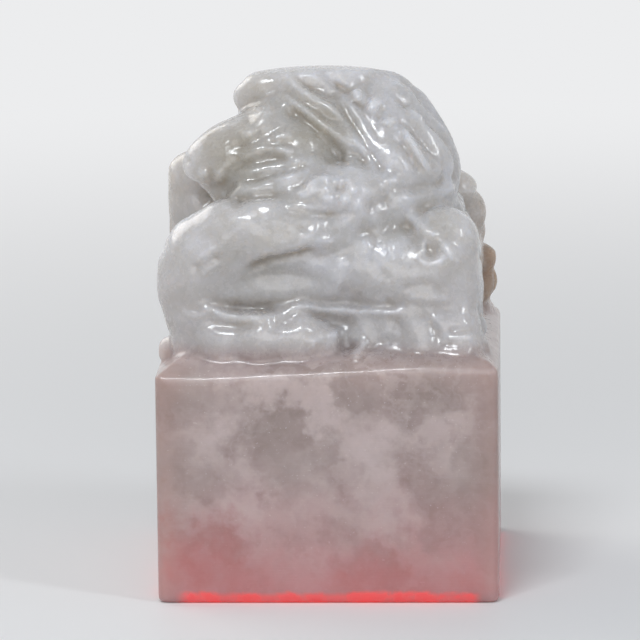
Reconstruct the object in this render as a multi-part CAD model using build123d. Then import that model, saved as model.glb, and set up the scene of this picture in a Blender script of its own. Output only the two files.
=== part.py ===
from build123d import *
from build123d.topology import SkipClean
import os

# A carved stone seal: a square block with an engraved sealing face, under a resting beast that
# turns its head back over its own flank. The origin is in the middle of the sealing face, +Z is
# up, +X points to the beast's chest and -Y to its right flank, which is the front view.
# Block and beast are one stone in the real thing. Each carved form is a solid of its own here,
# cut back to the forms that it grows out of, so that they meet face to face.

# Block
block_width = 30.0
block_depth = 30.0
wall_height = 20.4
upright_edge_radius = 1.0
foot_edge_radius = 0.3
shoulder_inset = 1.9
shoulder_rise = 1.5

# Sealing face: a rim round a sunk ground, with a raised square spiral in each quarter
rim_width = 1.5
relief_depth = 0.6
fret_bar = 1.1
fret_gap = 1.1
paste_thickness = 0.12

# Carving: places are shares of the half width, the half depth and this height
carving_height = 23.5

# Trunk and tail
torso_length = 25.0
torso_width = 23.8
torso_height = 18.2
torso_place_shares = (0.02, 0.005, 0.225)
chest_length = 9.8
chest_width = 18.0
chest_height = 14.8
chest_place_shares = (0.565, 0.03, 0.24)
tail_length = 7.2
tail_width = 7.2
tail_height = 14.0
tail_place_shares = (-0.745, 0.385, 0.385)

# Limbs: places are those of the right one of each pair
haunch_length = 15.2
haunch_width = 13.6
haunch_height = 12.8
haunch_place_shares = (-0.49, -0.41, 0.235)
shoulder_length = 10.4
shoulder_width = 12.0
shoulder_height = 10.8
shoulder_place_shares = (0.55, -0.405, 0.32)
hip_fold_length = 17.6
hip_fold_width = 8.4
hip_fold_height = 6.6
hip_fold_place_shares = (-0.345, -0.59, 0.41)
hip_fold_tilt = 3.0
hind_foot_length = 15.8
hind_foot_width = 8.8
hind_foot_height = 5.6
hind_foot_place_shares = (-0.41, -0.61, 0.07)
fore_foot_length = 11.4
fore_foot_width = 8.4
fore_foot_height = 6.2
fore_foot_place_shares = (0.55, -0.61, 0.085)

# Neck and head
mane_length = 16.0
mane_width = 15.2
mane_height = 18.6
mane_place_shares = (0.235, -0.005, 0.58)
skull_length = 12.6
skull_width = 9.8
skull_height = 9.0
skull_place_shares = (-0.14, -0.095, 0.808)
muzzle_length = 10.8
muzzle_width = 7.2
muzzle_height = 6.8
muzzle_place_shares = (-0.48, -0.29, 0.67)
muzzle_tilt = 6.0
jaw_length = 18.0
jaw_width = 11.2
jaw_height = 6.6
jaw_place_shares = (-0.13, -0.38, 0.565)
brow_length = 5.8
brow_width = 5.0
brow_height = 3.8
brow_place_shares = (-0.365, -0.11, 0.89)
ear_length = 7.2
ear_width = 3.8
ear_height = 4.0
ear_place_shares = (-0.05, 0.335, 0.765)
ear_tilt = -12.0

# Round lumps: curls beside the far shoulder, and knobs along the ridge of the neck
neck_curl_size = 4.8
neck_curl_place_shares = ((0.755, 0.52, 0.36), (0.825, 0.65, 0.16), (0.70, 0.44, 0.46))
neck_knob_size = 2.4
neck_knob_place_shares = ((0.14, -0.28, 0.87), (0.24, -0.335, 0.82), (0.325, -0.39, 0.76))

# A loose piece of a cut form is kept if it holds more than this share of the largest piece
sliver_share = 0.03

block_top = wall_height + shoulder_rise


def place(shares):
    """A point of the carving, from its shares of the half width, half depth and height."""
    across, deep, up = shares
    return Pos(
        across * block_width / 2,
        deep * block_depth / 2,
        block_top + up * carving_height,
    )


def mirrored(shares):
    """The same place on the beast's other flank."""
    across, deep, up = shares
    return across, -deep, up


def egg(shares, length, width, height, tilt=0):
    """An egg-round mass of two half shells, from its full sizes along X, Y and Z."""
    half_ball = Sphere(1, arc_size3=180, align=None)
    half = scale(half_ball, by=(length / 2, width / 2, height / 2))
    with SkipClean():
        mass = half.fuse(mirror(half, about=Plane.XZ))
    return place(shares) * Rot(0, -tilt, 0) * mass


def block_blank():
    """The block with its sloped shoulder, before the sealing face is engraved."""
    outline = RectangleRounded(block_width, block_depth, upright_edge_radius)
    wall = extrude(outline, wall_height)
    wall = fillet(wall.faces().sort_by(Axis.Z)[0].edges(), foot_edge_radius)
    top_outline = RectangleRounded(
        block_width - 2 * shoulder_inset,
        block_depth - 2 * shoulder_inset,
        upright_edge_radius + shoulder_inset,
    )
    slope = [Pos(0, 0, wall_height) * outline, Pos(0, 0, block_top) * top_outline]
    return wall + loft(slope, ruled=True)


def spiral(size):
    """A raised square spiral, its bars inside a square of the given size."""
    bars = Sketch()
    corner = Vector(fret_bar - size, fret_bar - size) / 2
    ways = (Vector(1, 0), Vector(0, 1), Vector(-1, 0), Vector(0, -1))
    run = size - fret_bar
    turn = 0
    while run > fret_bar:
        end = corner + ways[turn % 4] * run
        middle = (corner + end) / 2
        length = abs(end.X - corner.X) + fret_bar
        width = abs(end.Y - corner.Y) + fret_bar
        bars += Pos(middle.X, middle.Y) * Rectangle(length, width)
        corner = end
        turn += 1
        if turn > 2 and turn % 2 == 1:
            run -= fret_bar + fret_gap
    return bars


def sunk_ground():
    """The outline of the ground between the rim and the four spirals."""
    field_width = block_width - 2 * rim_width
    field_depth = block_depth - 2 * rim_width
    size = (min(field_width, field_depth) - 3 * fret_gap) / 2
    quarter = Pos((size + fret_gap) / 2, (size + fret_gap) / 2) * spiral(size)
    ground = Rectangle(field_width, field_depth)
    for turned in range(4):
        ground -= Rot(0, 0, 90 * turned) * quarter
    return ground


def block_nodes(blank):
    """The engraved block, and the dried seal paste in its sunk ground."""
    ground = sunk_ground()
    paste = Pos(0, 0, relief_depth - paste_thickness) * extrude(ground, paste_thickness)
    return {
        "seal_block": (blank - extrude(ground, relief_depth)).solids(),
        "seal_paste": paste.solids(),
    }


def meets(one, other):
    """Whether the boxes of two forms share any room."""
    a, b = one.bounding_box(), other.bounding_box()
    lows = (max(a.min.X, b.min.X), max(a.min.Y, b.min.Y), max(a.min.Z, b.min.Z))
    highs = (min(a.max.X, b.max.X), min(a.max.Y, b.max.Y), min(a.max.Z, b.max.Z))
    return all(low < high for low, high in zip(lows, highs))


def cut_back(form, carriers):
    """The solids of a form that stand clear of the forms that it grows out of."""
    solids = [form]
    for carrier in carriers:
        if meets(form, carrier):
            with SkipClean():
                solids = [left for solid in solids for left in solid.cut(carrier).solids()]
    largest = max(solid.volume for solid in solids)
    return [solid for solid in solids if solid.volume > sliver_share * largest]


def pair(name, shares, *sizes):
    """The same mass on both flanks, as two named forms."""
    return {
        f"right_{name}": [egg(shares, *sizes)],
        f"left_{name}": [egg(mirrored(shares), *sizes)],
    }


def carved_forms():
    """Every mass of the beast, whole and overlapping, those that carry others first."""
    curl = (neck_curl_size, neck_curl_size, neck_curl_size)
    knob = (neck_knob_size, neck_knob_size, neck_knob_size)
    return {
        "torso": [egg(torso_place_shares, torso_length, torso_width, torso_height)],
        "chest": [egg(chest_place_shares, chest_length, chest_width, chest_height)],
        "mane": [egg(mane_place_shares, mane_length, mane_width, mane_height)],
        **pair("haunch", haunch_place_shares, haunch_length, haunch_width, haunch_height),
        **pair("shoulder", shoulder_place_shares, shoulder_length, shoulder_width, shoulder_height),
        "skull": [egg(skull_place_shares, skull_length, skull_width, skull_height)],
        "muzzle": [
            egg(muzzle_place_shares, muzzle_length, muzzle_width, muzzle_height, muzzle_tilt)
        ],
        "jaw": [egg(jaw_place_shares, jaw_length, jaw_width, jaw_height)],
        "brow": [egg(brow_place_shares, brow_length, brow_width, brow_height)],
        "tail": [egg(tail_place_shares, tail_length, tail_width, tail_height)],
        **pair(
            "hip_fold",
            hip_fold_place_shares,
            hip_fold_length,
            hip_fold_width,
            hip_fold_height,
            hip_fold_tilt,
        ),
        **pair(
            "hind_foot",
            hind_foot_place_shares,
            hind_foot_length,
            hind_foot_width,
            hind_foot_height,
        ),
        **pair(
            "fore_foot",
            fore_foot_place_shares,
            fore_foot_length,
            fore_foot_width,
            fore_foot_height,
        ),
        **pair("ear", mirrored(ear_place_shares), ear_length, ear_width, ear_height, ear_tilt),
        "neck_curls": [egg(shares, *curl) for shares in neck_curl_place_shares],
        "neck_knobs": [egg(shares, *knob) for shares in neck_knob_place_shares],
    }


def beast_nodes(blank):
    """Every form of the beast, cut by the block and by each form that comes before it."""
    nodes = {}
    carriers = [blank]
    for name, masses in carved_forms().items():
        nodes[name] = []
        for mass in masses:
            nodes[name] += cut_back(mass, carriers)
            carriers.append(mass)
    return nodes


blank = block_blank()
os.makedirs("parts", exist_ok=True)
for name, solids in {**block_nodes(blank), **beast_nodes(blank)}.items():
    print(f"{name}: {len(solids)} solids, {sum(solid.volume for solid in solids):.1f} mm3")
    export_step(Compound(solids), f"parts/{name}.step")
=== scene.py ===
import math

import bpy
import numpy as np
from mathutils import Matrix, Vector


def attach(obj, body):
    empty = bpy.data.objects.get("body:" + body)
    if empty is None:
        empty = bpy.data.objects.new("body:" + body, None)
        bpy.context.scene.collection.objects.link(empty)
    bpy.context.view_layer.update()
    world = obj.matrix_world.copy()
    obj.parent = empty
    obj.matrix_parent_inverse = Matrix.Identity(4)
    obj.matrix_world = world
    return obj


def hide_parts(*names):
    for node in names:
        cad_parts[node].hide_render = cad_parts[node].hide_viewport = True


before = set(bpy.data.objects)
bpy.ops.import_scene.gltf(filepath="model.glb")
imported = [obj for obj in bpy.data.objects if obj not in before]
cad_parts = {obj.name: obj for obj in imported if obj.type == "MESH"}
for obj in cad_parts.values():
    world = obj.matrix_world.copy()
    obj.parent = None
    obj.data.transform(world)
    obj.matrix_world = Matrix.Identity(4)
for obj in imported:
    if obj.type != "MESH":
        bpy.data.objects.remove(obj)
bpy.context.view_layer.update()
scene = bpy.context.scene

# The camera stands where the photograph was taken from: nearly square to the right flank, a
# little above the block's top edge, with a long lens. Its bearing, height and roll were fitted
# to the corners of the block in the 640 x 640 picture.
photo_width = 640
film_width = 36.0
bearing = math.radians(2.43)
elevation = math.radians(10.46)
roll = math.radians(-0.6)
eye_distance = 450.0
sight_target = np.array([-1.108, 0.0, 22.42])
focal_pixels = 5028.7

toward_lens = np.array([
    math.sin(bearing) * math.cos(elevation),
    -math.cos(bearing) * math.cos(elevation),
    math.sin(elevation),
])
level_right = np.array([math.cos(bearing), math.sin(bearing), 0.0])
level_up = np.cross(toward_lens, level_right)
picture_right = level_right * math.cos(roll) + level_up * math.sin(roll)
picture_up = level_up * math.cos(roll) - level_right * math.sin(roll)
eye_point = sight_target + toward_lens * eye_distance

lens = bpy.data.cameras.new("camera")
lens.sensor_width = film_width
lens.lens = film_width * focal_pixels / photo_width
lens.clip_end = 10.0
camera = bpy.data.objects.new("camera", lens)
scene.collection.objects.link(camera)
turned = Matrix((picture_right, picture_up, toward_lens)).transposed().to_4x4()
camera.matrix_world = Matrix.Translation(Vector(eye_point * 0.001)) @ turned
scene.camera = camera

# The block: a square prism sawn from the stone and rubbed down by hand. Its top slopes away
# from a slightly wavy edge, and the underside is engraved with a rim and four square spirals.
# It is shaped here as a solid field of distances, in millimetres, which the carving joins.
half_side = 15.0
wall_height = 20.4
shoulder_rise = 1.5
shoulder_inset = 1.9
upright_edge_radius = 1.0
foot_edge_radius = 0.3
rim_width = 1.5
relief_depth = 0.6
fret_bar = 1.1
fret_gap = 1.1
edge_drop = 0.08
arris_round = 0.14
lid_round = 0.8
deepest_field = 6.0
# Only stone above this height is carved, and below it the walls are left as they were sawn
carving_foot = 20.6
# The grid's step across the stone, and up through the carving
grain_step = 0.26

across = np.arange(-half_side - 1.5 * grain_step, half_side + 2 * grain_step, grain_step)
wall_levels = np.array([-0.3, -0.1, 0.07, 0.2, 0.36, 0.52, 0.68, 0.85, 1.2, 2.0, 3.5, 5.5,
                        7.5, 9.5, 11.5, 13.5, 15.5, 17.0, 18.0, 18.7, 19.2])
carved_levels = np.arange(19.5, 45.9, grain_step)
levels = np.concatenate([wall_levels, carved_levels])
gx = across[:, None, None]
gy = across[None, :, None]
gz = levels[None, None, :]


def soften(first, second, blend):
    """The union of two distance fields, with a fillet of about the given size in the angle."""
    near = np.clip(blend - np.abs(first - second), 0, None) / blend
    return np.minimum(first, second) - near * near * blend / 4


def pared(first, second, blend):
    """What is left of the first field where the second is cut away from it."""
    return -soften(-first, second, blend)


inner = half_side - upright_edge_radius
corner_x = np.clip(np.abs(gx) - inner, 0, None)
corner_y = np.clip(np.abs(gy) - inner, 0, None)
inside_x = np.minimum(np.maximum(np.abs(gx), np.abs(gy)) - inner, 0)
prism = np.hypot(corner_x, corner_y) + inside_x - upright_edge_radius
edge_wave = 0.34 * np.tanh(gx / 3.5 + 0.3) + 0.1 * np.sin(gx / 2.1 + 0.6) * np.cos(gy / 4.3)
edge_height = wall_height - edge_drop + edge_wave
slope = math.atan2(shoulder_rise, shoulder_inset)
rim_run = np.maximum(np.abs(gx), np.abs(gy)) - half_side
facet = (gz - edge_height) * math.cos(slope) + rim_run * math.sin(slope)
lid = gz - (wall_height + shoulder_rise) - 0.1 * np.sin(gx / 3.0) * np.sin(gy / 2.6)
block = -soften(-prism, gz, foot_edge_radius * 2)
block = -soften(-block, -facet, arris_round)
block = -soften(-block, -lid, lid_round)


def bar_edges(size):
    """The bars of one square spiral, as boxes (low x, high x, low y, high y) about its middle."""
    boxes = []
    at = np.array([fret_bar - size, fret_bar - size]) / 2
    ways = ((1, 0), (0, 1), (-1, 0), (0, -1))
    run = size - fret_bar
    turn = 0
    while run > fret_bar:
        to = at + np.array(ways[turn % 4]) * run
        low, high = np.minimum(at, to) - fret_bar / 2, np.maximum(at, to) + fret_bar / 2
        boxes.append((low[0], high[0], low[1], high[1]))
        at = to
        turn += 1
        if turn > 2 and turn % 2 == 1:
            run -= fret_bar + fret_gap
    return boxes


field_side = 2 * (half_side - rim_width)
spiral_side = (field_side - 3 * fret_gap) / 2
spiral_offset = (spiral_side + fret_gap) / 2
flat_x, flat_y = np.meshgrid(across, across, indexing="ij")
bars = np.full(flat_x.shape, half_side)
for quarter in range(4):
    turn_x, turn_y = ((1, 0), (0, 1), (-1, 0), (0, -1))[quarter]
    u = turn_x * flat_x + turn_y * flat_y - spiral_offset
    v = -turn_y * flat_x + turn_x * flat_y - spiral_offset
    for low_u, high_u, low_v, high_v in bar_edges(spiral_side):
        box = np.maximum(np.maximum(low_u - u, u - high_u), np.maximum(low_v - v, v - high_v))
        bars = np.minimum(bars, box)
field = np.maximum(np.abs(flat_x), np.abs(flat_y)) - field_side / 2
ground = np.maximum(field, -bars)[:, :, None]
low = levels < 2.5 * relief_depth
sunk = np.maximum(ground, gz[:, :, low] - relief_depth)
block[:, :, low] = pared(block[:, :, low], sunk, 0.12)
stone = np.maximum(block, -deepest_field)

# The beast's trunk: one lump left standing on the block, rounded into a chest, a belly and a
# rump. Every form of the carving is worked from it with burr and file, so each is added to the
# same field, with a soft angle where the tool ran round and a sharp one where it cut in.


def region(low, high):
    """The part of the field between two corners."""
    cut = []
    for lines, a, b in zip((across, across, levels), low, high):
        cut.append(slice(*np.searchsorted(lines, (a, b))))
    return tuple(cut)


def seen(px, py, depth=-half_side):
    """The point in millimetres where the picture's sight line meets the plane y = depth."""
    ray = (
        picture_right * (px - photo_width / 2)
        - picture_up * (py - photo_width / 2)
        - toward_lens * focal_pixels
    )
    return eye_point + ray * (depth - eye_point[1]) / ray[1]


def lump(centre, radii, blend=0.8, tilt=0.0, swing=0.0, cut=False):
    """An egg of stone, tilted about Y and swung about Z, joined to the stone or cut from it."""
    centre, radii = np.asarray(centre), np.asarray(radii, float)
    room = radii.max() + 2 * blend
    part = region(centre - room, centre + room)
    x, y, z = gx[part[0]] - centre[0], gy[:, part[1]] - centre[1], gz[:, :, part[2]] - centre[2]
    a, b = math.radians(swing), math.radians(tilt)
    x, y = math.cos(a) * x + math.sin(a) * y, -math.sin(a) * x + math.cos(a) * y
    x, z = math.cos(b) * x + math.sin(b) * z, -math.sin(b) * x + math.cos(b) * z
    near = np.sqrt((x / radii[0]) ** 2 + (y / radii[1]) ** 2 + (z / radii[2]) ** 2)
    steep = np.sqrt((x / radii[0] ** 2) ** 2 + (y / radii[1] ** 2) ** 2 + (z / radii[2] ** 2) ** 2)
    away = near * (near - 1) / np.maximum(steep, 1e-6)
    stone[part] = (pared if cut else soften)(stone[part], away, blend)


def ridge(path, blend=0.6, cut=False, flank=1):
    """A round limb, lock or groove along points (x, y, z, radius); flank -1 mirrors it in Y."""
    path = np.array(path, float)
    path[:, 1] *= flank
    for start, end in zip(path[:-1], path[1:]):
        room = max(start[3], end[3]) + 2 * blend
        low, high = np.minimum(start, end)[:3] - room, np.maximum(start, end)[:3] + room
        part = region(low, high)
        x, y, z = gx[part[0]] - start[0], gy[:, part[1]] - start[1], gz[:, :, part[2]] - start[2]
        run = (end - start)[:3]
        along = np.clip((x * run[0] + y * run[1] + z * run[2]) / (run @ run), 0, 1)
        away = np.sqrt((x - along * run[0]) ** 2 + (y - along * run[1]) ** 2
                       + (z - along * run[2]) ** 2)
        away = away - (start[3] + along * (end[3] - start[3]))
        stone[part] = (pared if cut else soften)(stone[part], away, blend)


def traced(marks):
    """The limb points for marks (px, py, depth, radius) made over the photograph."""
    return [(*seen(px, py, depth), radius) for px, py, depth, radius in marks]


lump((0.2, 0.2, 27.8), (12.4, 10.8, 8.4), 1.2)
lump((8.3, 0.4, 27.6), (4.9, 9.0, 7.4), 1.5)
for flank in (1, -1):
    flesh = ((-9.3, -6.7, 27.9, 5.5), (-4.0, -6.6, 28.0, 5.4), (1.5, -6.3, 28.3, 5.1),
             (4.8, -6.4, 27.8, 5.1), (8.0, -6.8, 27.3, 5.3))
    ridge(flesh, 1.2, flank=flank)

# The hind legs: a thick roll of flesh goes from the hip round the rump and back along the
# block as the foot, about a rounder thigh. The roll is undercut along the thigh.
hip_marks = ((334, 227, -8.4, 3.1), (300, 229, -9.0, 3.2), (265, 231, -9.3, 3.3),
             (230, 239, -9.1, 3.35), (206, 254, -8.8, 3.4), (193, 281, -8.5, 3.25),
             (200, 306, -8.8, 3.2))
foot_marks = ((202, 312, -9.0, 3.1), (222, 332, -10.3, 2.55), (258, 337, -11.2, 2.4),
              (300, 339, -11.5, 2.1), (322, 341, -11.4, 1.75))
sole_marks = ((194, 343, -10.0, 2.0), (222, 349, -11.2, 1.8), (262, 350, -11.7, 1.7),
              (300, 350, -11.7, 1.5), (320, 349, -11.5, 1.2))
heel_marks = ((171, 350, -8.4, 1.25), (184, 349, -9.0, 1.4))
for flank in (1, -1):
    lump(seen(286, 288, -13.4) * (1, flank, 1), (7.0, 2.2, 2.3), 0.6, tilt=4, cut=True)
    ridge(traced(hip_marks), 0.8, flank=flank)
    ridge(traced(foot_marks), 0.6, flank=flank)
    ridge(traced(sole_marks), 0.8, flank=flank)
    lump(seen(270, 288, -9.2) * (1, flank, 1), (6.2, 2.6, 2.3), 0.8, tilt=3)
    lump(seen(346, 334, -9.2) * (1, flank, 1), (2.8, 2.2, 2.2), 0.8)
    ridge(traced(heel_marks), 0.3, flank=flank)

# The forelegs: a round shoulder, an elbow drawn back beside the thigh, and a forearm that lies
# forward along the block to a paw with knuckled toes.
shoulder_marks = ((444, 243, -7.6, 3.2), (438, 262, -8.2, 3.3))
forearm_marks = ((372, 330, -9.6, 2.1), (420, 328, -10.1, 2.3), (455, 330, -10.0, 2.4))
palm_marks = ((372, 345, -10.6, 1.3), (420, 346, -11.4, 1.5), (458, 347, -11.4, 1.6),
              (474, 346, -9.8, 1.3))
toe_marks = (
    ((436, 348, -11.5, 0.9), (466, 350, -11.0, 0.9)),
    ((448, 337, -11.3, 1.0), (473, 339, -10.2, 1.0)),
    ((454, 325, -10.4, 1.1), (475, 327, -8.6, 1.1)),
)
for flank in (1, -1):
    ridge(traced(shoulder_marks), 1.0, flank=flank)
    ridge(traced(forearm_marks), 1.0, flank=flank)
    ridge(traced(palm_marks), 0.8, flank=flank)
    lump(seen(458, 300, -7.4) * (1, flank, 1), (2.2, 3.7, 5.2), 0.9)
    for toe in toe_marks:
        ridge(traced(toe), 0.35, flank=flank)

# The tail stands up behind the far haunch and curls towards the head.
tail_path = ((-9.6, 8.6, 24.0, 3.0), (-12.0, 7.2, 28.0, 2.8), (-12.5, 6.4, 32.0, 2.4),
             (-12.6, 6.0, 34.6, 2.1), (-11.4, 5.0, 36.0, 1.6), (-8.0, 3.5, 36.0, 2.4))
ridge(tail_path, 0.8)

# The neck rises from the chest and turns back over the right flank under a heavy mane.
lump((3.5, 0.3, 35.4), (7.4, 7.4, 9.5), 1.0)
lump((5.6, -1.9, 36.0), (5.8, 6.2, 5.7), 1.2)
for curl in ((453, 192, 6.6, 2.2), (463, 212, 7.6, 2.2), (468, 230, 8.4, 1.7), (476, 260, 9.3, 1.8),
             (478, 280, 9.8, 1.8), (479, 312, 11.0, 1.5)):
    *centre, radius = traced([curl])[0]
    lump(centre, (radius, radius, radius), 0.5)

# The head lies on the mane, its muzzle over the haunch.
muzzle_marks = ((196, 163, -5.4, 0.95), (206, 162, -5.2, 1.9), (220, 161, -4.9, 2.7),
                (240, 159, -4.5, 3.5), (270, 157, -4.0, 4.2), (305, 153, -3.4, 4.8))
brow_marks = ((247, 96, -1.4, 1.2), (265, 91, -1.6, 1.95), (292, 86, -1.4, 2.25),
              (352, 85, -0.6, 2.3))
jaw_marks = ((232, 190, -5.4, 1.7), (262, 193, -6.8, 2.5), (300, 195, -7.6, 2.9),
             (350, 200, -7.6, 3.0), (385, 205, -6.4, 3.0))
lump((-2.4, -1.6, 40.0), (5.8, 4.8, 4.4), 0.8)
ridge(traced(muzzle_marks), 0.8)
ridge(traced(brow_marks), 0.6)
ridge(traced(jaw_marks), 1.2)
lump((-0.6, 5.0, 39.6), (3.4, 1.9, 2.0), 0.5, tilt=-12)

# The hand work: no surface of the carving is true, so it swells and dips a little all over.


def uneven(size, seed):
    """A smooth random field over the whole stone, with bumps of about the given size in mm."""
    maker = np.random.default_rng(seed)
    grids, shares = [], []
    for line in (across, across, levels):
        spots = (line - line[0]) / size
        whole = np.floor(spots).astype(int)
        part = spots - whole
        grids.append(whole)
        shares.append(part * part * (3 - 2 * part))
    lattice = maker.standard_normal([whole.max() + 2 for whole in grids])
    out = lattice
    for axis, (whole, part) in enumerate(zip(grids, shares)):
        shape = [1, 1, 1]
        shape[axis] = -1
        part = part.reshape(shape)
        out = np.take(out, whole, axis) * (1 - part) + np.take(out, whole + 1, axis) * part
    return out


carved_share = np.clip((gz - carving_foot - 0.6) / 1.5, 0, 1)
stone += carved_share * (0.085 * uneven(2.6, 7) + 0.05 * uneven(1.3, 11))

# The cut lines: creases, locks and folds are drawn over the forms with a fine point. The right
# flank and the head follow the photograph, and the unseen sides follow them.
pixels_per_mm = 11.47
# How far from its surface a stroke can move the stone, in millimetres
skin_depth = 1.2
sights = {
    "photo": (1, None, None, None),
    "far flank": (-1, None, None, None),
    "chest": (1, (0, 1, 0), (0, 0, 1), (1, 0, 0)),
    "rump": (1, (0, -1, 0), (0, 0, 1), (-1, 0, 0)),
    "back": (1, (-1, 0, 0), (0, 0, 1), (0, 1, 0)),
    "top": (1, (1, 0, 0), (0, 1, 0), (0, 0, 1)),
}


def drawn(strokes, sight="photo", limit=-4.0, force=0.75):
    """Works strokes into the skin: each is (width mm, depth mm, edge, points) in one sight.

    A positive depth cuts a groove and a negative one raises a thread. With edge set, the stone
    stands proud on the left of the line and falls away on its right. The points are pixels in
    the photograph, or millimetres in a straight view. Stone behind the limit isn't touched.
    """
    flank, side_way, up_way, out_way = sights[sight]
    near = np.argwhere(np.abs(stone) < skin_depth)
    near = near[levels[near[:, 2]] > carving_foot]
    near = near[(near > 0).all(1) & (near < np.array(stone.shape) - 1).all(1)]
    i, j, k = near.T
    x, y, z = across[i], across[j] * flank, levels[k]
    lean = np.stack([
        stone[i + 1, j, k] - stone[i - 1, j, k],
        (stone[i, j + 1, k] - stone[i, j - 1, k]) * flank,
        stone[i, j, k + 1] - stone[i, j, k - 1],
    ], 1)
    lean /= np.linalg.norm(lean, axis=1)[:, None] + 1e-9
    if side_way is None:
        off = np.stack([x, y, z], 1) - eye_point
        away = -(off @ toward_lens)
        u = (photo_width / 2 + focal_pixels * (off @ picture_right) / away) / pixels_per_mm
        v = (photo_width / 2 - focal_pixels * (off @ picture_up) / away) / pixels_per_mm
        facing, nearness, unit = lean @ toward_lens, -y, pixels_per_mm
    else:
        spots = np.stack([x, y, z], 1)
        u, v = spots @ np.array(side_way), spots @ np.array(up_way)
        facing, nearness, unit = lean @ np.array(out_way), spots @ np.array(out_way), 1.0
    fade = np.clip((facing - 0.02) / 0.35, 0, 1) * np.clip((nearness - limit) / 1.5, 0, 1)
    push = np.zeros(len(near))
    for width, height, edge, points in strokes:
        points = np.array(points, float) / unit
        room = 3 * width
        touched = np.flatnonzero(
            (u > points[:, 0].min() - room) & (u < points[:, 0].max() + room)
            & (v > points[:, 1].min() - room) & (v < points[:, 1].max() + room) & (fade > 0))
        a, b = u[touched], v[touched]
        best = np.full(len(touched), 1e9)
        side = np.zeros(len(touched))
        taper = np.zeros(len(touched))
        lengths = np.hypot(*np.diff(points, axis=0).T)
        total = lengths.sum()
        gone = 0.0
        for start, end, length in zip(points[:-1], points[1:], lengths):
            run = (end - start) / length
            t = np.clip((a - start[0]) * run[0] + (b - start[1]) * run[1], 0, length)
            gap = np.hypot(a - start[0] - t * run[0], b - start[1] - t * run[1])
            closer = gap < best
            best = np.where(closer, gap, best)
            turn = (b - start[1]) * run[0] - (a - start[0]) * run[1]
            side = np.where(closer, np.sign(turn), side)
            share = (gone + t) / total
            ends = np.clip(5 * np.minimum(share, 1 - share) + 0.1, 0, 1)
            taper = np.where(closer, ends, taper)
            gone += length
        if edge:
            shape = side * np.exp(-best / width) * (1 - np.exp(-((best / width * 3) ** 2)))
        else:
            shape = np.exp(-((best / width) ** 2))
        push[touched] += height * taper * shape
    stone[i, j, k] += force * push * fade


folds = (
    (0.36, 0.7, False, ((244, 270), (256, 264), (270, 259), (285, 256), (303, 251), (322, 246))),
    (1.2, 0.5, True, ((244, 270), (262, 261), (285, 256), (310, 250), (336, 246))),
    (0.4, 0.3, False, ((190, 268), (205, 262), (222, 254))),
    (0.35, -0.18, False, ((200, 277), (208, 269), (217, 262))),
    (0.55, -0.2, False, ((195, 261), (206, 255), (216, 249))),
    (0.34, -0.45, False, ((208, 309), (225, 315), (240, 318), (260, 317))),
    (0.3, -0.25, False, ((178, 309), (188, 315), (199, 316), (208, 307), (214, 309))),
    (0.3, -0.28, False, ((286, 315), (294, 307), (308, 306), (320, 309), (345, 311), (370, 311),
                         (396, 312), (403, 308), (416, 306))),
    (0.9, 0.6, True, ((416, 303), (396, 308), (345, 307), (300, 303), (262, 312), (222, 308))),
    (0.6, 0.3, False, ((203, 296), (225, 303), (250, 308), (280, 304))),
    (0.5, 0.4, False, ((203, 322), (222, 325), (240, 327), (262, 323))),
    (0.6, 0.25, False, ((268, 322), (285, 324), (300, 320))),
    (0.9, 0.2, False, ((336, 335), (350, 336))),
    (0.45, -0.35, False, ((308, 345), (317, 340), (326, 335))),
    (0.25, -0.3, False, ((333, 337), (337, 329))),
    (0.4, -0.4, False, ((354, 361), (357, 352), (364, 343), (369, 342))),
    (0.45, 0.25, False, ((324, 329), (340, 323), (358, 326))),
    (1.3, 0.35, False, ((338, 286), (352, 292), (366, 297))),
    (0.35, -0.25, False, ((370, 299), (386, 302))),
    (0.45, 0.25, False, ((398, 291), (415, 285), (432, 284), (450, 292))),
    (0.3, -0.22, False, ((400, 297), (420, 299), (445, 299), (453, 303))),
    (0.9, 0.7, False, ((425, 249), (438, 251))),
    (0.3, -0.3, False, ((417, 258), (428, 264), (440, 262), (447, 254))),
    (0.4, -0.6, False, ((441, 249), (446, 247), (450, 252), (447, 257))),
    (0.35, -0.3, False, ((448, 256), (454, 258), (460, 264))),
    (0.42, -0.38, False, ((407, 215), (415, 219), (425, 229), (439, 239))),
    (0.6, 0.25, False, ((398, 222), (410, 235), (418, 246))),
    (0.8, 0.15, False, ((430, 215), (445, 228), (455, 242))),
    (0.35, -0.2, False, ((296, 239), (308, 236), (316, 230), (319, 224))),
    (0.3, -0.2, False, ((315, 240), (325, 241), (336, 241))),
    (0.4, 0.2, False, ((296, 222), (306, 228), (312, 222))),
    (0.5, -0.2, False, ((334, 265), (345, 262), (352, 268))),
    (0.6, 0.15, False, ((256, 208), (268, 220), (282, 233))),
    (0.7, -0.15, False, ((228, 218), (245, 218), (256, 226))),
    (0.5, -0.2, False, ((330, 270), (342, 280), (350, 282))),
    (0.4, 0.2, False, ((380, 232), (372, 250), (376, 268), (388, 280))),
    (0.5, -0.2, False, ((362, 238), (368, 244), (366, 252))),
    (0.4, -0.2, False, ((372, 218), (380, 226), (376, 236))),
    (0.35, 0.25, False, ((420, 312), (432, 322), (438, 334), (434, 346))),
    (0.3, -0.25, False, ((430, 322), (438, 317))),
    (0.35, -0.25, False, ((466, 337), (473, 332))),
    (0.35, 0.3, False, ((446, 331), (462, 331), (476, 333))),
    (0.35, 0.3, False, ((440, 343), (458, 344), (472, 345))),
    (0.45, 0.25, False, ((392, 318), (402, 328), (404, 340))),
    (0.35, 0.2, False, ((372, 345), (390, 340), (420, 341))),
)
drawn(folds, force=0.95)
drawn(folds, "far flank")

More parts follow.
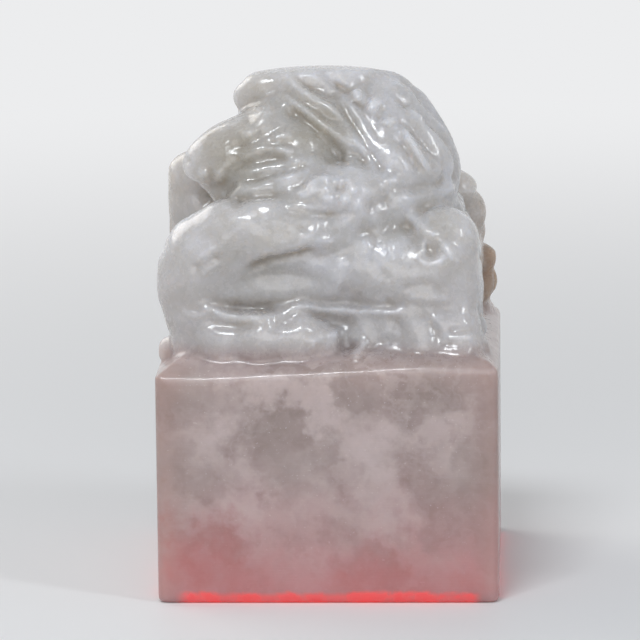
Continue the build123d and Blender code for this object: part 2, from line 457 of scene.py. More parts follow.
locks = (
    (0.36, -0.3, False, ((283, 75), (303, 91), (322, 100), (345, 120))),
    (0.3, 0.22, False, ((292, 72), (312, 90), (334, 103))),
    (0.36, -0.26, False, ((301, 69), (318, 78), (345, 98), (362, 120))),
    (0.3, 0.2, False, ((318, 72), (345, 90), (366, 114), (383, 146))),
    (0.36, -0.3, False, ((287, 98), (312, 117), (328, 130))),
    (0.3, 0.2, False, ((284, 88), (308, 105), (330, 121), (345, 140))),
    (0.36, -0.28, False, ((324, 100), (343, 117), (360, 144), (378, 172))),
    (0.3, 0.2, False, ((332, 104), (352, 124), (368, 150), (388, 176))),
    (1.2, 0.4, False, ((283, 104), (300, 116), (316, 130), (328, 144), (338, 160))),
    (0.9, 0.3, True, ((286, 99), (306, 114), (324, 130), (340, 148), (352, 170))),
    (0.6, -0.35, False, ((320, 125), (334, 129), (346, 139), (356, 152))),
    (0.55, -0.8, False, ((354, 88), (358, 95), (356, 102))),
    (0.55, -0.75, False, ((377, 99), (373, 106), (369, 112))),
    (0.5, -0.7, False, ((387, 117), (388, 121), (386, 126))),
    (0.4, 0.25, False, ((363, 86), (367, 97), (361, 110))),
    (0.4, 0.25, False, ((382, 104), (380, 114), (376, 122))),
    (0.45, 0.2, False, ((340, 82), (334, 92), (344, 96))),
    (0.32, -0.6, False, ((403, 128), (412, 143), (422, 158), (430, 173))),
    (0.6, 0.3, False, ((396, 134), (406, 150), (416, 164), (424, 176))),
    (0.6, 0.22, False, ((408, 126), (424, 146), (436, 170))),
    (0.4, -0.25, False, ((409, 106), (420, 114), (429, 121))),
    (0.9, 0.45, True, ((462, 176), (450, 184), (431, 190), (410, 193), (390, 191))),
    (0.6, 0.3, False, ((392, 198), (376, 203), (364, 209))),
    (0.5, -0.25, False, ((384, 180), (394, 180), (402, 183))),
    (0.5, 0.2, False, ((360, 150), (372, 164), (384, 176))),
)
drawn(locks, force=1.25)

features = (
    (0.6, -0.55, False, ((238, 139), (252, 132), (259, 121), (266, 110), (271, 105))),
    (0.5, 0.4, False, ((226, 151), (244, 143), (260, 136), (275, 131), (284, 126))),
    (0.35, -0.35, False, ((270, 138), (284, 135), (294, 132))),
    (0.42, -0.6, False, ((274, 149), (284, 151), (293, 152))),
    (0.3, 0.3, False, ((266, 144), (278, 142), (294, 142))),
    (0.3, 0.25, False, ((262, 152), (272, 156), (290, 158))),
    (0.35, -0.3, False, ((238, 161), (252, 153), (263, 149), (274, 150))),
    (0.3, 0.2, False, ((232, 170), (250, 162), (270, 160), (292, 163))),
    (0.45, -0.7, False, ((202, 178), (206, 170))),
    (0.45, -0.7, False, ((216, 169), (220, 175), (224, 178))),
    (0.25, -0.3, False, ((222, 164), (227, 168))),
    (0.35, 0.35, False, ((209, 168), (211, 176), (215, 183))),
    (0.3, 0.3, False, ((238, 181), (262, 178), (280, 173), (300, 167), (312, 162))),
    (0.35, -0.25, False, ((232, 176), (262, 168), (290, 160), (316, 158), (334, 167))),
    (0.35, 0.35, False, ((282, 186), (298, 184), (311, 175), (322, 171), (336, 172))),
    (0.35, -0.2, False, ((258, 182), (280, 179), (300, 174))),
    (0.45, -0.25, False, ((222, 197), (240, 190), (262, 186), (276, 187))),
    (0.4, 0.3, False, ((226, 203), (250, 198), (275, 195), (296, 192))),
    (0.42, -0.8, False, ((306, 190), (314, 181), (322, 177), (331, 178))),
    (0.42, -0.75, False, ((296, 197), (312, 192), (322, 188), (331, 190))),
    (0.4, -0.7, False, ((318, 199), (327, 198), (336, 200))),
    (0.45, -0.9, False, ((340, 202), (346, 199), (351, 196))),
    (0.3, -0.4, False, ((354, 206), (362, 203))),
    (0.4, 0.6, False, ((334, 190), (342, 187), (350, 184))),
    (0.4, -0.65, False, ((344, 180), (351, 187), (357, 194))),
    (0.3, -0.28, False, ((283, 204), (305, 206), (325, 209), (342, 208))),
    (0.35, 0.25, False, ((283, 211), (310, 215), (342, 215), (362, 212))),
    (0.6, 0.2, False, ((244, 118), (256, 124), (262, 132))),
)
drawn(features)

mane_front = (
    (0.34, 0.32, False, ((-0.9, 44.6), (-1.5, 41.5), (-1.0, 38.2), (-2.0, 34.6))),
    (0.34, 0.32, False, ((0.9, 44.4), (0.5, 41.4), (1.2, 38.2), (0.6, 34.2))),
    (0.34, 0.32, False, ((2.7, 43.8), (2.6, 40.8), (3.4, 37.8), (3.0, 34.2))),
    (0.34, 0.32, False, ((4.4, 42.4), (4.8, 39.6), (5.6, 36.8), (5.2, 34.2))),
    (0.34, 0.32, False, ((-3.0, 43.8), (-3.6, 40.8), (-3.2, 37.6), (-4.4, 34.6))),
    (0.34, 0.32, False, ((-4.8, 42.0), (-5.6, 39.2), (-5.2, 36.6), (-6.4, 34.6))),
    (0.34, -0.26, False, ((0.0, 44.6), (-0.5, 41.5), (0.1, 38.2), (-0.7, 34.4))),
    (0.34, -0.26, False, ((1.8, 44.2), (1.6, 41.2), (2.3, 38.0), (1.8, 34.2))),
    (0.34, -0.26, False, ((3.6, 43.2), (3.7, 40.2), (4.5, 37.4), (4.1, 34.2))),
    (0.34, -0.26, False, ((-2.0, 44.2), (-2.6, 41.2), (-2.1, 38.0), (-3.2, 34.6))),
    (0.34, -0.26, False, ((-3.9, 43.0), (-4.6, 40.0), (-4.2, 37.2), (-5.4, 34.6))),
    (0.8, 0.55, True, ((7.8, 33.8), (5.4, 32.9), (2.6, 33.2), (0.0, 32.4), (-2.6, 33.0), (-5.4, 32.8),
                       (-7.8, 33.8))),
    (0.4, 0.3, False, ((-3.4, 31.0), (0.0, 30.0), (3.4, 31.0))),
    (0.4, 0.35, False, ((-3.6, 28.8), (0.0, 27.8), (3.6, 28.8))),
    (0.4, 0.35, False, ((-3.6, 26.6), (0.0, 25.6), (3.6, 26.6))),
    (0.5, 0.4, False, ((-4.6, 32.4), (-4.0, 28.6), (-4.6, 24.6), (-5.4, 22.4))),
    (0.5, 0.4, False, ((4.6, 32.4), (4.0, 28.6), (4.6, 24.6), (5.4, 22.4))),
    (0.35, 0.4, False, ((-9.6, 25.6), (-9.4, 24.0), (-9.6, 22.3))),
    (0.35, 0.4, False, ((-7.9, 25.6), (-7.7, 24.0), (-7.8, 22.3))),
    (0.35, 0.4, False, ((9.6, 25.6), (9.4, 24.0), (9.6, 22.3))),
    (0.35, 0.4, False, ((7.9, 25.6), (7.7, 24.0), (7.8, 22.3))),
)
drawn(mane_front, "chest", 4.0)

tail_and_rump = (
    (0.36, 0.4, False, ((-8.4, 24.0), (-8.0, 28.0), (-7.2, 31.5), (-6.6, 35.0))),
    (0.36, 0.4, False, ((-6.6, 23.6), (-6.6, 28.0), (-6.0, 31.5), (-5.6, 34.6))),
    (0.36, -0.3, False, ((-7.5, 24.0), (-7.3, 28.0), (-6.6, 31.5), (-6.1, 34.8))),
    (0.6, 0.5, False, ((-1.2, 22.6), (-0.6, 26.0), (-1.0, 30.0), (-2.0, 32.6))),
    (0.4, 0.3, False, ((1.4, 31.6), (3.8, 30.4), (6.4, 31.2), (8.6, 29.6))),
    (0.35, 0.45, False, ((4.0, 38.0), (4.4, 37.6))),
    (0.35, 0.45, False, ((6.4, 38.0), (6.0, 37.6))),
    (0.3, 0.35, False, ((2.8, 36.2), (4.2, 35.6), (5.4, 35.9), (6.6, 35.5), (7.8, 36.0))),
)
drawn(tail_and_rump, "rump", 2.0)

far_mane = (
    (0.36, 0.32, False, ((-5.4, 43.6), (-6.2, 41.0), (-7.8, 38.2), (-9.4, 35.6))),
    (0.36, 0.32, False, ((-3.6, 44.2), (-4.4, 41.0), (-6.0, 37.8), (-7.4, 34.8))),
    (0.36, 0.32, False, ((-1.8, 44.2), (-2.6, 40.8), (-4.0, 37.6), (-5.2, 34.4))),
    (0.36, 0.32, False, ((0.0, 43.6), (-0.8, 40.4), (-2.2, 37.2), (-3.0, 34.2))),
    (0.36, -0.26, False, ((-4.5, 44.0), (-5.3, 41.0), (-6.9, 38.0), (-8.4, 35.2))),
    (0.36, -0.26, False, ((-2.7, 44.2), (-3.5, 41.0), (-5.0, 37.8), (-6.3, 34.6))),
    (0.36, -0.26, False, ((-0.9, 44.0), (-1.7, 40.6), (-3.1, 37.4), (-4.1, 34.3))),
    (0.7, 0.5, True, ((1.6, 35.4), (-1.0, 34.0), (-4.0, 33.4), (-7.0, 33.8), (-10.0, 35.2))),
    (0.5, 0.4, False, ((-1.4, 39.4), (0.6, 39.8), (2.6, 40.4))),
    (0.35, 0.35, False, ((4.6, 41.2), (6.0, 40.6), (7.2, 40.9))),
    (0.4, -0.35, False, ((4.4, 42.0), (6.0, 41.6), (7.6, 41.6))),
    (0.35, 0.3, False, ((5.0, 37.4), (7.4, 36.6), (10.4, 36.4))),
    (0.36, 0.3, False, ((3.0, 38.6), (4.8, 37.4), (5.6, 35.8))),
)
drawn(far_mane, "back", -1.0)

crown = (
    (0.5, -0.3, False, ((-5.4, -1.2), (-2.0, -1.4), (2.0, -1.0), (6.0, 0.2), (9.0, 1.4))),
    (0.34, 0.28, False, ((-4.0, 0.4), (0.0, 0.8), (4.0, 1.4), (8.0, 3.0))),
    (0.34, 0.28, False, ((-3.0, 2.0), (1.0, 2.6), (4.6, 3.4), (7.6, 5.0))),
    (0.34, -0.24, False, ((-3.4, 1.2), (0.5, 1.7), (4.4, 2.4), (8.0, 4.0))),
)
drawn(crown, "top", 38.0)

# The skin: the field's zero surface is taken off as one closed mesh, because the real carving
# and block are one piece of stone.


# The highest that the stone goes, and the height of the slight dome that the head ends in
stone_height = 45.38
crown_height = 45.42
crown_middle = (-0.6, -1.0)
crown_round = (0.012, 0.05)


def skinned(field, name):
    """One closed mesh over a field, with a vertex in every cell that the surface crosses."""
    nx, ny, nz = field.shape
    lines = (across, across, levels)
    inside = field < 0
    totals = np.zeros((nx * ny * nz, 3))
    counts = np.zeros(nx * ny * nz)
    faces = []
    strides = np.array([ny * nz, nz, 1])
    for axis in range(3):
        low = [slice(None)] * 3
        high = [slice(None)] * 3
        low[axis], high[axis] = slice(None, -1), slice(1, None)
        crossed = inside[tuple(low)] != inside[tuple(high)]
        index = np.argwhere(crossed)
        other = index.copy()
        other[:, axis] += 1
        first, second = field[tuple(index.T)], field[tuple(other.T)]
        share = first / (first - second)
        point = np.stack([line[index[:, i]] for i, line in enumerate(lines)], 1)
        point[:, axis] += share * (lines[axis][other[:, axis]] - lines[axis][index[:, axis]])
        cell = index @ strides
        b, c = strides[(axis + 1) % 3], strides[(axis + 2) % 3]
        ring = np.stack([cell - b - c, cell - c, cell, cell - b], 1)
        for corner in range(4):
            np.add.at(counts, ring[:, corner], 1)
            for i in range(3):
                totals[:, i] += np.bincount(
                    ring[:, corner], weights=point[:, i], minlength=len(totals)
                )
        leaves = first < 0
        faces.append(np.where(leaves[:, None], ring, ring[:, ::-1]))
    used = np.flatnonzero(counts)
    number = np.full(len(counts), -1)
    number[used] = np.arange(len(used))
    points = totals[used] / counts[used, None]
    quads = number[np.concatenate(faces)]
    # The grid's steps are rubbed out of the carving: pulled in, then let out by as much
    free = np.clip((points[:, 2:] - carving_foot) / 0.6, 0, 1)
    for pull in (0.5, -0.52, 0.5, -0.52):
        sums, shared = np.zeros_like(points), np.zeros(len(points))
        for side in range(4):
            here, there = quads[:, side], quads[:, side - 3]
            shared += np.bincount(here, minlength=len(points))
            for i in range(3):
                sums[:, i] += np.bincount(here, weights=points[there, i], minlength=len(points))
        points += free * pull * (sums / shared[:, None] - points)
    highest = (half_side, half_side, stone_height)
    points = np.clip(points, (-half_side, -half_side, 0.0), highest)
    mesh = bpy.data.meshes.new(name)
    mesh.vertices.add(len(points))
    mesh.vertices.foreach_set("co", (points * 0.001).ravel())
    mesh.loops.add(quads.size)
    mesh.loops.foreach_set("vertex_index", quads.ravel().astype(np.int32))
    mesh.polygons.add(len(quads))
    mesh.polygons.foreach_set("loop_start", np.arange(0, quads.size, 4, dtype=np.int32))
    mesh.polygons.foreach_set("use_smooth", np.ones(len(quads), bool))
    mesh.update(calc_edges=True)
    mesh.validate()
    return mesh


def smeared(values, reach):
    """Values averaged over a box that reaches the given number of grid steps each way."""
    for axis in range(3):
        count = values.shape[axis]
        rim = [(reach + 1, reach) if side == axis else (0, 0) for side in range(3)]
        totals = np.cumsum(np.pad(values, rim, mode="edge"), axis=axis)
        low = np.take(totals, np.arange(count), axis)
        high = np.take(totals, np.arange(count) + 2 * reach + 1, axis)
        values = (high - low) / (2 * reach + 1)
    return values


def sampled(values, points):
    """What a field over the carved levels holds at points in millimetres."""
    spots = (points - (across[0], across[0], carved_levels[0])) / grain_step
    spots = np.clip(spots, 0, np.array(values.shape) - 1.001)
    base = spots.astype(int)
    part = spots - base
    out = np.zeros(len(points))
    for corner in np.ndindex(2, 2, 2):
        weight = np.prod(np.where(corner, part, 1 - part), axis=1)
        out += weight * values[tuple((base + np.array(corner)).T)]
    return out


fall_x = crown_round[0] * (gx - crown_middle[0]) ** 2
fall_y = crown_round[1] * (gy - crown_middle[1]) ** 2
crown_top = crown_height - fall_x - fall_y
bounds_gap = np.maximum(np.maximum(np.abs(gx), np.abs(gy)) - half_side, gz - crown_top)
stone = -soften(-stone, -bounds_gap, 0.25)
stone_mesh = skinned(stone, "carved_stone")
carved_stone = bpy.data.objects.new("carved_stone", stone_mesh)
scene.collection.objects.link(carved_stone)

# How closed in each point of the skin is: over a half in a crease, under a half on an edge
skin_points = np.zeros(3 * len(stone_mesh.vertices))
stone_mesh.vertices.foreach_get("co", skin_points)
skin_points = skin_points.reshape(-1, 3) * 1000.0
matter = np.clip(0.5 - stone[:, :, len(wall_levels):] / (2 * grain_step), 0, 1)
for title, reach in (("crease", 2), ("hollow", 6)):
    closed_in = sampled(smeared(smeared(matter, reach), reach), skin_points)
    layer = stone_mesh.attributes.new(title, "FLOAT", "POINT")
    layer.data.foreach_set("value", closed_in.astype(np.float32))

# The stone: translucent soapstone, milky grey in the carving and a cloudy pinkish grey in the
# block, with veins, warmer towards the back, and the red of the seal paste in its foot, with a
# painted red glow. Painted shade and painted highlights are laid into the colour of the carving
# and of the block's upright edges. The carving is waxed and shiny; the walls keep the fine lines
# of the sanding.


def effect(name, values):
    """A shader group with number or vector inputs, and a mask as its output."""
    tree = bpy.data.node_groups.new(name, "ShaderNodeTree")
    for key, value in values.items():
        kind = "NodeSocketVector" if isinstance(value, tuple) else "NodeSocketFloat"
        plug = tree.interface.new_socket(key, in_out="INPUT", socket_type=kind)
        plug.default_value = value
    tree.interface.new_socket("Mask", in_out="OUTPUT", socket_type="NodeSocketFloat")
    given = tree.nodes.new("NodeGroupInput").outputs
    return tree, given, tree.nodes.new("NodeGroupOutput").inputs["Mask"]


def put(tree, kind, settings=None, **feeds):
    """A node in a tree, with its properties set and its inputs given a value or a link.

    An input is called by its name, or by n and its number where names repeat.
    """
    node = tree.nodes.new(kind)
    for key, value in (settings or {}).items():
        setattr(node, key, value)
    for key, value in feeds.items():
        numbered = key[0] == "n" and key[1:].isdigit()
        plug = node.inputs[int(key[1:]) if numbered else key.replace("_", " ")]
        if isinstance(value, bpy.types.NodeSocket):
            tree.links.new(value, plug)
        else:
            plug.default_value = value
    return node


def maths(tree, operation, first, second=0.0):
    """A maths node's result."""
    return put(tree, "ShaderNodeMath", {"operation": operation}, n0=first, n1=second).outputs[0]


def vector_maths(tree, operation, first, **feeds):
    """A vector maths node's result: a vector, or a number for a length or a product."""
    node = put(tree, "ShaderNodeVectorMath", {"operation": operation}, n0=first, **feeds)
    numbers = ("DISTANCE", "DOT_PRODUCT", "LENGTH")
    return node.outputs["Value" if operation in numbers else "Vector"]


def in_millimetres(tree):
    """The place in the object's own frame, in millimetres."""
    metres = put(tree, "ShaderNodeTexCoord").outputs["Object"]
    return vector_maths(tree, "SCALE", metres, Scale=1000.0)


def ranged(tree, value, low, high, bottom=0.0, top=1.0):
    """A value taken smoothly from one range to another."""
    node = put(tree, "ShaderNodeMapRange", {"interpolation_type": "SMOOTHSTEP"}, Value=value,
               From_Min=low, From_Max=high, To_Min=bottom, To_Max=top)
    return node.outputs["Result"]


def tinted(tree, share, under, over):
    """One colour laid over another by a mask."""
    node = put(tree, "ShaderNodeMix", {"data_type": "RGBA"}, n0=share, n6=under, n7=over)
    return node.outputs[2]


# Cloud: soft uneven patches in the depth of a stone or film
cloud, given, mask = effect("cloud", {"Place": (0, 0, 0), "Size": 6.0, "Warp": 1.0})
per_size = maths(cloud, "DIVIDE", 1.0, given["Size"])
noise = put(cloud, "ShaderNodeTexNoise", Vector=given["Place"], Scale=per_size, Detail=4.0,
            Roughness=0.55, Distortion=given["Warp"])
cloud.links.new(ranged(cloud, noise.outputs["Fac"], 0.34, 0.68), mask)

# Vein: thin wandering bands
vein, given, mask = effect("vein", {"Place": (0, 0, 0), "Size": 9.0, "Width": 0.06})
per_size = maths(vein, "DIVIDE", 1.0, given["Size"])
noise = put(vein, "ShaderNodeTexNoise", Vector=given["Place"], Scale=per_size, Detail=2.0,
            Roughness=0.45, Distortion=0.5)
off = maths(vein, "ABSOLUTE", maths(vein, "SUBTRACT", noise.outputs["Fac"], 0.5))
vein.links.new(ranged(vein, off, given["Width"], 0.0), mask)

# Spot: one soft round patch about a centre
spot, given, mask = effect("spot", {"Place": (0, 0, 0), "Centre": (0, 0, 0), "Size": 4.0})
gap = vector_maths(spot, "DISTANCE", given["Place"], n1=given["Centre"])
edge = ranged(spot, gap, given["Size"], 0.0)
spot.links.new(edge, mask)

# Streak: one soft band between two points
streak, given, mask = effect(
    "streak", {"Place": (0, 0, 0), "Start": (0, 0, 0), "Run": (1, 0, 0), "Size": 2.0})
run = given["Run"]
off = vector_maths(streak, "SUBTRACT", given["Place"], n1=given["Start"])
along = vector_maths(streak, "DOT_PRODUCT", off, n1=run)
length = vector_maths(streak, "DOT_PRODUCT", run, n1=run)
share = maths(streak, "MAXIMUM", maths(streak, "DIVIDE", along, length))
nearest = vector_maths(streak, "SCALE", run, Scale=maths(streak, "MINIMUM", share, 1.0))
gap = vector_maths(streak, "DISTANCE", off, n1=nearest)
edge = ranged(streak, gap, given["Size"], 0.0)
streak.links.new(edge, mask)

stone_finish = bpy.data.materials.new("stone")
stone_finish.use_nodes = True
tree = stone_finish.node_tree
shader = tree.nodes["Principled BSDF"]
place = in_millimetres(tree)
at = put(tree, "ShaderNodeSeparateXYZ", Vector=place)
height = at.outputs["Z"]


def placed(group, **values):
    """An effect put in the material that is being made, at its own values."""
    node = put(tree, "ShaderNodeGroup", {"node_tree": group}, **values)
    return node.outputs["Mask"]


crease = put(tree, "ShaderNodeAttribute", {"attribute_name": "crease"}).outputs["Fac"]
hollow = put(tree, "ShaderNodeAttribute", {"attribute_name": "hollow"}).outputs["Fac"]
drift = put(tree, "ShaderNodeTexNoise", Vector=place, Scale=0.30, Detail=4.0, Roughness=0.6)
drift = vector_maths(tree, "SUBTRACT", drift.outputs["Color"], n1=(0.5, 0.5, 0.5))
drift = vector_maths(tree, "SCALE", drift, Scale=11.0)
wandering = vector_maths(tree, "ADD", place, n1=drift)
big_cloud = placed(cloud, Place=place, Size=8.6, Warp=0.8)
small_cloud = placed(cloud, Place=place, Size=2.6, Warp=0.4)
veins = placed(vein, Place=wandering, Size=13.0, Width=0.085)
fine_veins = placed(vein, Place=wandering, Size=6.0, Width=0.08)


def laid(mask, amount, under, over):
    """A colour laid over another by a mask, at most by the given amount."""
    return tinted(tree, maths(tree, "MULTIPLY", mask, amount), under, over)


def spot_at(marks, size, way=place):
    """A soft round patch about the point that marks (px, py) and maybe a depth stand for."""
    return placed(spot, Place=way, Centre=seen(*marks).tolist(), Size=size)


pale_band = (0.54, 0.45, 0.44, 1)
dark_grey = (0.255, 0.200, 0.178, 1)
# The olive grey is painted shade, laid over the carving's shadowed hollows
olive_shade_grey = (0.325, 0.298, 0.252, 1)
dark_red = (0.44, 0.11, 0.105, 1)


# The block's clouds: dark patches and pale bands stand where the photograph shows them, and
# the other three walls have their own. Drift breaks up the edges of a mark, so it is made wider.
block_grey = tinted(tree, big_cloud, (0.305, 0.232, 0.216, 1), (0.385, 0.295, 0.282, 1))
block_grey = laid(veins, 0.5, block_grey, pale_band)
block_grey = laid(fine_veins, 0.3, block_grey, (0.50, 0.42, 0.41, 1))
dark_marks = ((200, 392, 2.6), (268, 428, 2.4), (345, 396, 2.8), (318, 452, 2.2), (434, 396, 2.4),
              (196, 470, 3.0), (215, 530, 3.4), (345, 541, 2.6), (385, 556, 2.4), (440, 500, 3.4),
              (300, 500, 2.6), (478, 470, 2.0))
for px, py, size in dark_marks:
    dark = spot_at((px, py), size * 1.9, wandering)
    block_grey = laid(dark, 0.5, block_grey, dark_grey)
pale_bands = ((160, 425, 222, 440, 1.6), (222, 440, 262, 500, 1.9), (236, 378, 330, 410, 1.6),
              (330, 410, 372, 456, 2.0), (372, 456, 384, 500, 2.6), (384, 470, 470, 404, 1.8),
              (158, 505, 250, 512, 1.8), (250, 512, 400, 516, 2.4), (268, 560, 330, 590, 2.6),
              (420, 565, 480, 590, 2.0), (395, 520, 410, 570, 1.4))
for px0, py0, px1, py1, size in pale_bands:
    start, end = seen(px0, py0), seen(px1, py1)
    run = (end - start).tolist()
    pale = placed(streak, Place=wandering, Start=start.tolist(), Run=run, Size=size * 1.5)
    block_grey = laid(pale, 0.65, block_grey, pale_band)
mottle = placed(cloud, Place=place, Size=1.3, Warp=0.5)
block_grey = laid(mottle, 0.28, block_grey, (0.47, 0.38, 0.37, 1))
flecks = put(tree, "ShaderNodeTexNoise", Vector=place, Scale=4.5, Detail=2.0, Roughness=0.5)
fleck_share = ranged(tree, flecks.outputs["Fac"], 0.66, 0.78)
block_grey = laid(fleck_share, 0.5, block_grey, (0.66, 0.60, 0.60, 1))
from_side_x = maths(tree, "ABSOLUTE", at.outputs["X"])
from_side_y = maths(tree, "ABSOLUTE", at.outputs["Y"])
from_middle = maths(tree, "MINIMUM", from_side_x, from_side_y)
# Painted shade: darker and pinker towards the block's upright edges
block_grey = laid(ranged(tree, from_middle, 11.0, 15.5), 0.75, block_grey, (0.260, 0.170, 0.155, 1))
pink = ranged(tree, maths(tree, "ADD", height, maths(tree, "MULTIPLY", big_cloud, 3.0)), 16.0, 0.0)
block_grey = laid(pink, 0.55, block_grey, (0.50, 0.195, 0.200, 1))

# The carving: milky grey, with painted shade, a warm olive grey, where the stone closes in, and a
# painted highlight on its ridges and edges
carving_grey = tinted(tree, small_cloud, (0.450, 0.436, 0.430, 1), (0.530, 0.525, 0.545, 1))
# Painted shade in the hollows, held back low down
low_down = ranged(tree, height, 24.0, 27.0, 0.3, 1.0)
closed_in = maths(tree, "MULTIPLY", ranged(tree, hollow, 0.48, 0.70), low_down)
carving_grey = laid(closed_in, 0.6, carving_grey, (0.430, 0.395, 0.345, 1))
# Painted shade in the creases
carving_grey = laid(ranged(tree, crease, 0.54, 0.70), 0.3, carving_grey, (0.380, 0.345, 0.300, 1))
# Painted highlight: bluish white along the ridges and edges
carving_grey = laid(ranged(tree, crease, 0.46, 0.34), 0.3, carving_grey, (0.66, 0.66, 0.70, 1))
# Painted shade: darker and a little warmer towards the foot of the carving
carving_grey = laid(ranged(tree, height, 32.0, 23.5), 0.6, carving_grey, (0.425, 0.398, 0.390, 1))
warm_side = maths(tree, "ADD", at.outputs["Y"], maths(tree, "MULTIPLY", small_cloud, 3.0))
carving_grey = tinted(tree, ranged(tree, warm_side, 2.0, 13.0, 0.0, 0.8), carving_grey,
                      (0.40, 0.335, 0.26, 1))
# Painted shade: olive grey patches over the carving's shadowed hollows and undersides
olive_shade_marks = ((238, 158, -8.0, 6.5, 0.95), (316, 134, -6.0, 6.0, 1.0), (262, 100, -4.0, 5.0, 0.5),
               (250, 288, -12.0, 6.0, 0.3), (430, 215, -11.0, 5.0, 0.35),
               (300, 205, -10.0, 3.0, 0.3), (262, 232, -12.0, 5.5, 0.35))
for *marks, size, amount in olive_shade_marks:
    carving_grey = laid(spot_at(marks, size), amount, carving_grey, olive_shade_grey)
# A dark brown patch over the back right of the carving
brown_back_patch = placed(spot, Place=place, Centre=(12.5, 11.0, 26.0), Size=10.5)
carving_grey = laid(brown_back_patch, 1.0, carving_grey, (0.24, 0.14, 0.08, 1))

knob_share = ranged(tree, height, 21.2, 23.2)
colour = tinted(tree, knob_share, block_grey, carving_grey)

# The red of the paste: a bright line low in the wall, short of the corners, where the rim is
# bare, and a soft blush above it in patches
inside_rim = ranged(tree, from_middle, 13.6, 12.2)
paste_cloud = placed(cloud, Place=place, Size=5.0, Warp=0.3)
rise = maths(tree, "SUBTRACT", maths(tree, "MULTIPLY", paste_cloud, 2.6), height)
inside_walls = ranged(tree, from_middle, 15.0, 12.0)
blush = maths(tree, "MULTIPLY", ranged(tree, rise, -5.5, 1.6), inside_walls)
colour = laid(blush, 0.42, colour, (0.56, 0.19, 0.20, 1))
red_marks = ((230, 578, 5.0), (205, 552, 4.0), (392, 568, 4.2), (352, 588, 3.4), (460, 596, 3.0))
for px, py, size in red_marks:
    colour = laid(spot_at((px, py), size * 1.3, wandering), 0.36, colour, dark_red)
band_cloud = placed(cloud, Place=place, Size=3.0, Warp=0.3)
band_top = maths(tree, "SUBTRACT", height, maths(tree, "MULTIPLY", band_cloud, 0.3))
foot_band = maths(tree, "MULTIPLY", ranged(tree, band_top, 1.05, 0.5), inside_rim)
foot_band = maths(tree, "MULTIPLY", foot_band, ranged(tree, band_cloud, 0.1, 0.8, 0.65, 1.0))
colour = laid(foot_band, 1.0, colour, (0.92, 0.075, 0.075, 1))
tree.links.new(colour, shader.inputs["Base Color"])
# Painted glow: the red line also gives off light of its own, as emission
painted_red_glow = laid(foot_band, 1.0, (0, 0, 0, 1), (0.24, 0.008, 0.008, 1))
tree.links.new(painted_red_glow, shader.inputs["Emission Color"])
shader.inputs["Emission Strength"].default_value = 1.0

# Polish and tool marks
speck = put(tree, "ShaderNodeTexNoise", Vector=place, Scale=1.6, Detail=5.0, Roughness=0.6)
wall_share = ranged(tree, height, 22.4, 20.6)
rough_low = ranged(tree, speck.outputs["Fac"], 0.3, 0.7, 0.14, 0.36)
rough = maths(tree, "ADD", rough_low, maths(tree, "MULTIPLY", wall_share, 0.16))
tree.links.new(rough, shader.inputs["Roughness"])
ripple = put(tree, "ShaderNodeTexNoise", Vector=place, Scale=1.2, Detail=2.0, Roughness=0.5)
squeeze = vector_maths(tree, "MULTIPLY", place, n1=(0.35, 0.35, 9.0))
scratch = put(tree, "ShaderNodeTexNoise", Vector=squeeze, Scale=1.0, Detail=3.0, Roughness=0.6)
relief = maths(tree, "MULTIPLY", ripple.outputs["Fac"], maths(tree, "SUBTRACT", 1.05, wall_share))
sanded = ranged(tree, height, 20.4, 19.6)
lines = maths(tree, "MULTIPLY", scratch.outputs["Fac"], maths(tree, "MULTIPLY", sanded, 0.16))
relief = maths(tree, "ADD", relief, lines)
bump = put(tree, "ShaderNodeBump", Strength=0.4, Distance=0.00018, Height=relief)
tree.links.new(bump.outputs["Normal"], shader.inputs["Normal"])

shader.inputs["IOR"].default_value = 1.56
shader.inputs["Subsurface Weight"].default_value = 1.0
shader.inputs["Subsurface Scale"].default_value = 0.009
shader.inputs["Subsurface Radius"].default_value = (1.0, 0.88, 0.74)
shader.inputs["Coat Weight"].default_value = 0.45
shader.inputs["Coat Roughness"].default_value = 0.06
stone_mesh.materials.append(stone_finish)

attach(carved_stone, "root")
stone_nodes = [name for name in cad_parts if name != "seal_paste"]
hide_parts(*stone_nodes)

# The seal paste: a thin film of oily vermilion paste, dried in the sunk ground of the face.
paste_finish = bpy.data.materials.new("seal_paste")
paste_finish.use_nodes = True
tree = paste_finish.node_tree
shader = tree.nodes["Principled BSDF"]
place = in_millimetres(tree)
thick = placed(cloud, Place=place, Size=1.4, Warp=0.6)
crumbs = placed(cloud, Place=place, Size=0.35, Warp=0.2)
colour = tinted(tree, thick, (0.40, 0.012, 0.012, 1), (0.66, 0.035, 0.025, 1))
colour = tinted(tree, maths(tree, "MULTIPLY", crumbs, 0.35), colour, (0.25, 0.01, 0.01, 1))
tree.links.new(colour, shader.inputs["Base Color"])
tree.links.new(ranged(tree, crumbs, 0.0, 1.0, 0.42, 0.7), shader.inputs["Roughness"])
bump = put(tree, "ShaderNodeBump", Strength=0.5, Distance=0.00008, Height=crumbs)
tree.links.new(bump.outputs["Normal"], shader.inputs["Normal"])
film = bpy.data.objects["seal_paste"]
film.data.materials.clear()
film.data.materials.append(paste_finish)

# The studio: a plain pale round table that fades into pale paper all round, a soft light above
# on the left, a broad one in front, a narrow one on the right and one behind, and a dim sky.
table_radius = 4.0
table_corners = 72
table_mesh = bpy.data.meshes.new("table")
turns = [math.tau * step / table_corners for step in range(table_corners)]
corners = [(table_radius * math.cos(turn), table_radius * math.sin(turn), 0.0) for turn in turns]
table_mesh.from_pydata(corners, [], [tuple(range(table_corners))])
table = bpy.data.objects.new("table", table_mesh)
scene.collection.objects.link(table)


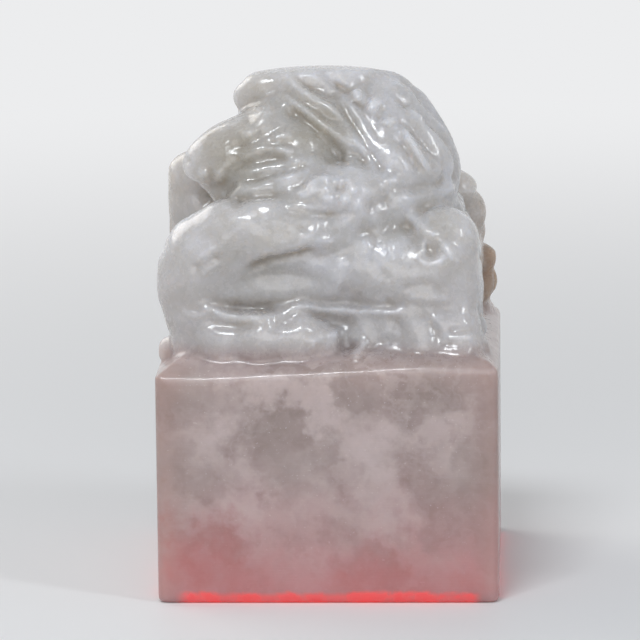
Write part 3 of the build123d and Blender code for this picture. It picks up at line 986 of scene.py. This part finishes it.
def pale_far_off(tree, lit, output, far=1.0):
    """Shows plain pale paper instead of a lit surface, to the lens and in reflections."""
    paper = put(tree, "ShaderNodeEmission", Color=(0.84, 0.845, 0.855, 1), Strength=1.0)
    kind = put(tree, "ShaderNodeLightPath").outputs
    share = maths(tree, "MAXIMUM", kind["Is Camera Ray"], kind["Is Glossy Ray"])
    share = maths(tree, "MAXIMUM", share, kind["Is Transmission Ray"])
    share = maths(tree, "MULTIPLY", share, far)
    mixed = put(tree, "ShaderNodeMixShader", n0=share, n1=lit, n2=paper.outputs[0])
    tree.links.new(mixed.outputs[0], output.inputs["Surface"])


table_finish = bpy.data.materials.new("table")
table_finish.use_nodes = True
tree = table_finish.node_tree
shader = tree.nodes["Principled BSDF"]
shader.inputs["Base Color"].default_value = (0.80, 0.80, 0.80, 1)
shader.inputs["Roughness"].default_value = 0.55
spread = put(tree, "ShaderNodeTexCoord").outputs["Object"]
spread = vector_maths(tree, "LENGTH", spread)
pale_far_off(tree, shader.outputs[0], tree.nodes["Material Output"], ranged(tree, spread, 0.05, 0.3))
table_mesh.materials.append(table_finish)

sky = bpy.data.worlds.new("studio")
scene.world = sky
sky.use_nodes = True
tree = sky.node_tree
daylight = tree.nodes["Background"]
daylight.inputs["Color"].default_value = (0.86, 0.90, 0.96, 1)
daylight.inputs["Strength"].default_value = 0.28
pale_far_off(tree, daylight.outputs[0], tree.nodes["World Output"])


carving_middle = Vector((0, 0, 0.028))


def softbox(name, spot, wide, tall, power, tint):
    """A soft lamp that looks at the carving: its place and size in metres, its power in watts."""
    light = bpy.data.lights.new(name, "AREA")
    light.shape = "RECTANGLE"
    light.size, light.size_y = wide, tall
    light.energy = power
    light.color = tint
    lamp = bpy.data.objects.new(name, light)
    scene.collection.objects.link(lamp)
    aim = carving_middle - Vector(spot)
    lamp.matrix_world = Matrix.Translation(spot) @ aim.to_track_quat("-Z", "Y").to_matrix().to_4x4()


softbox("key", (-0.09, -0.28, 0.44), 0.16, 0.10, 1.05, (0.92, 0.96, 1.0))
softbox("fill", (0.04, -0.62, 0.20), 0.50, 0.36, 0.9, (1.0, 0.98, 0.97))
softbox("strip", (0.32, -0.22, 0.30), 0.05, 0.20, 0.40, (0.93, 0.96, 1.0))
softbox("rim", (-0.34, 0.24, 0.28), 0.34, 0.26, 0.7, (1.0, 0.96, 0.91))

scene.view_settings.view_transform = "Standard"
